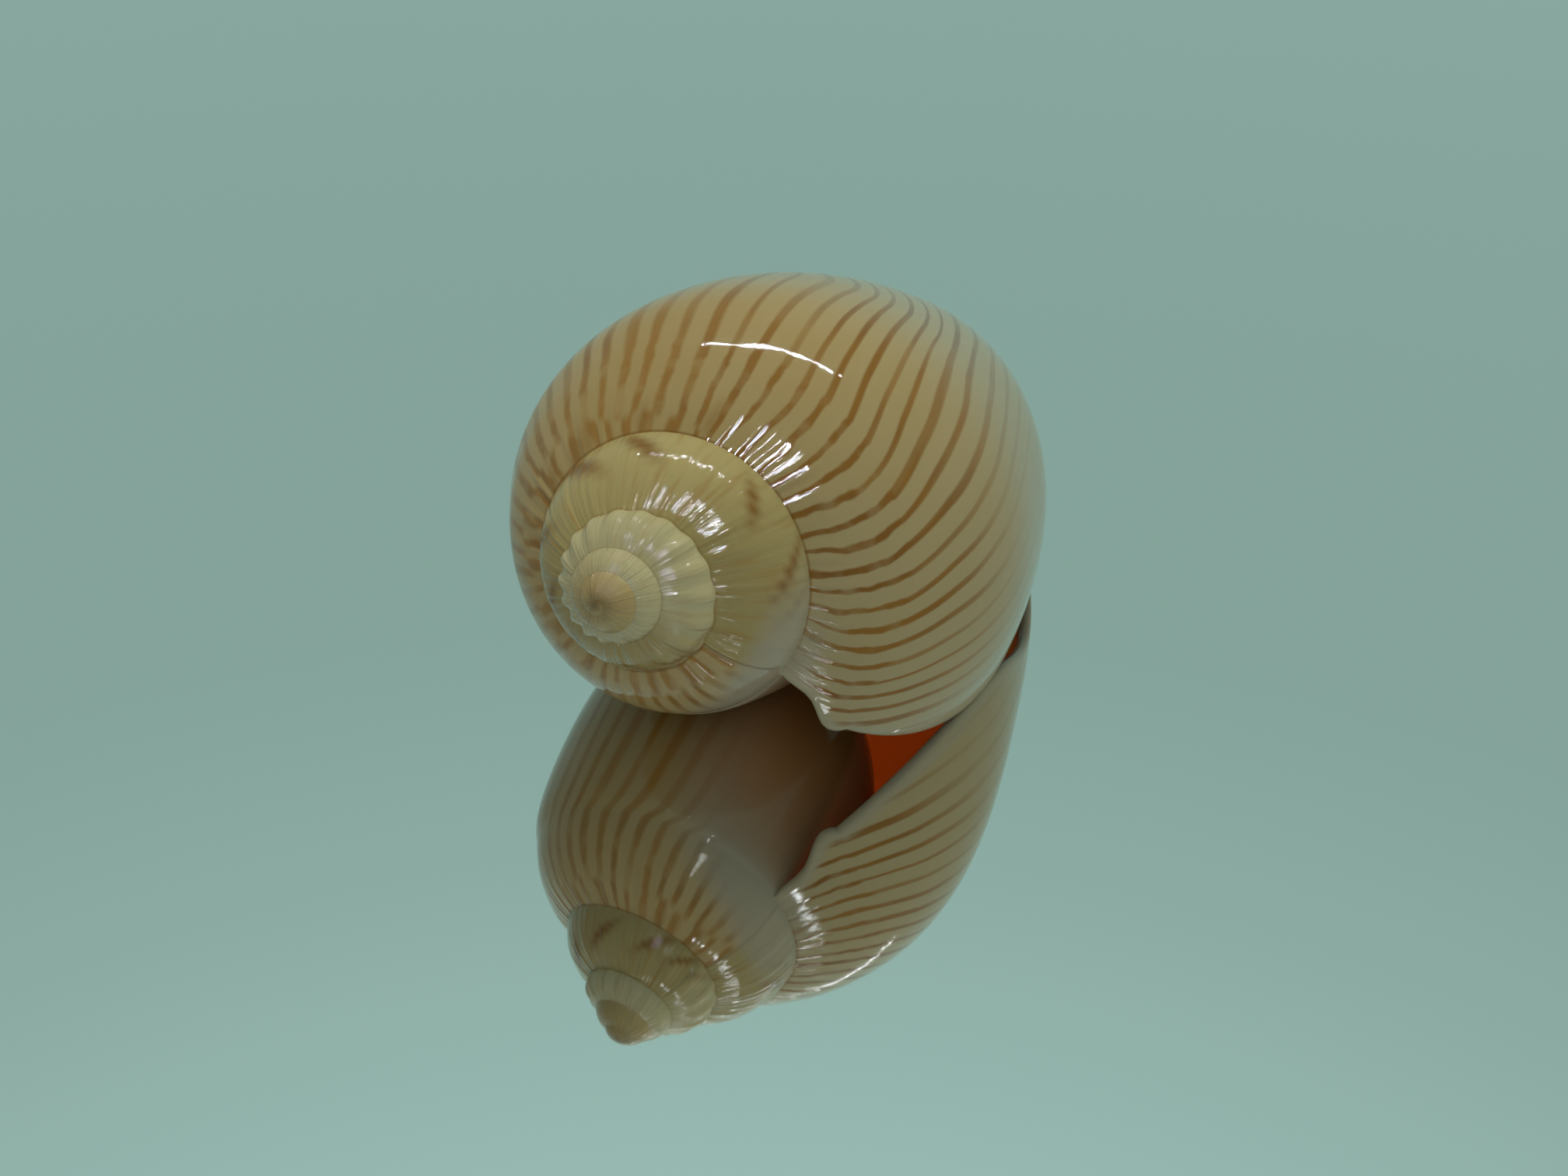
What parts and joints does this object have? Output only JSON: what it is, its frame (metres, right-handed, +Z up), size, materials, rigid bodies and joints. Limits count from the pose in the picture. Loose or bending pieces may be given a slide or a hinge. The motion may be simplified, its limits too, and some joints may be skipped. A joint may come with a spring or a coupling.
{
  "type": "volute shell",
  "caption": "Smooth volute sea shell with a low knobbed spire, a wide last whorl, an open mouth with a thin lip and folds on the columella.",
  "frame": {"origin": "under the middle of the shell's box, on the surface it rests on", "axes": "+Y from the apex of the spire to the front end, +X to the side of the outer lip, +Z up; the mouth faces down"},
  "size_m": [0.0406, 0.0806, 0.0348],
  "materials": {
    "shell": "naturally glossy, cream with thin brown stripes"
  },
  "bodies": {
    "root": {"shell": "shell"}
  },
  "joints": []
}
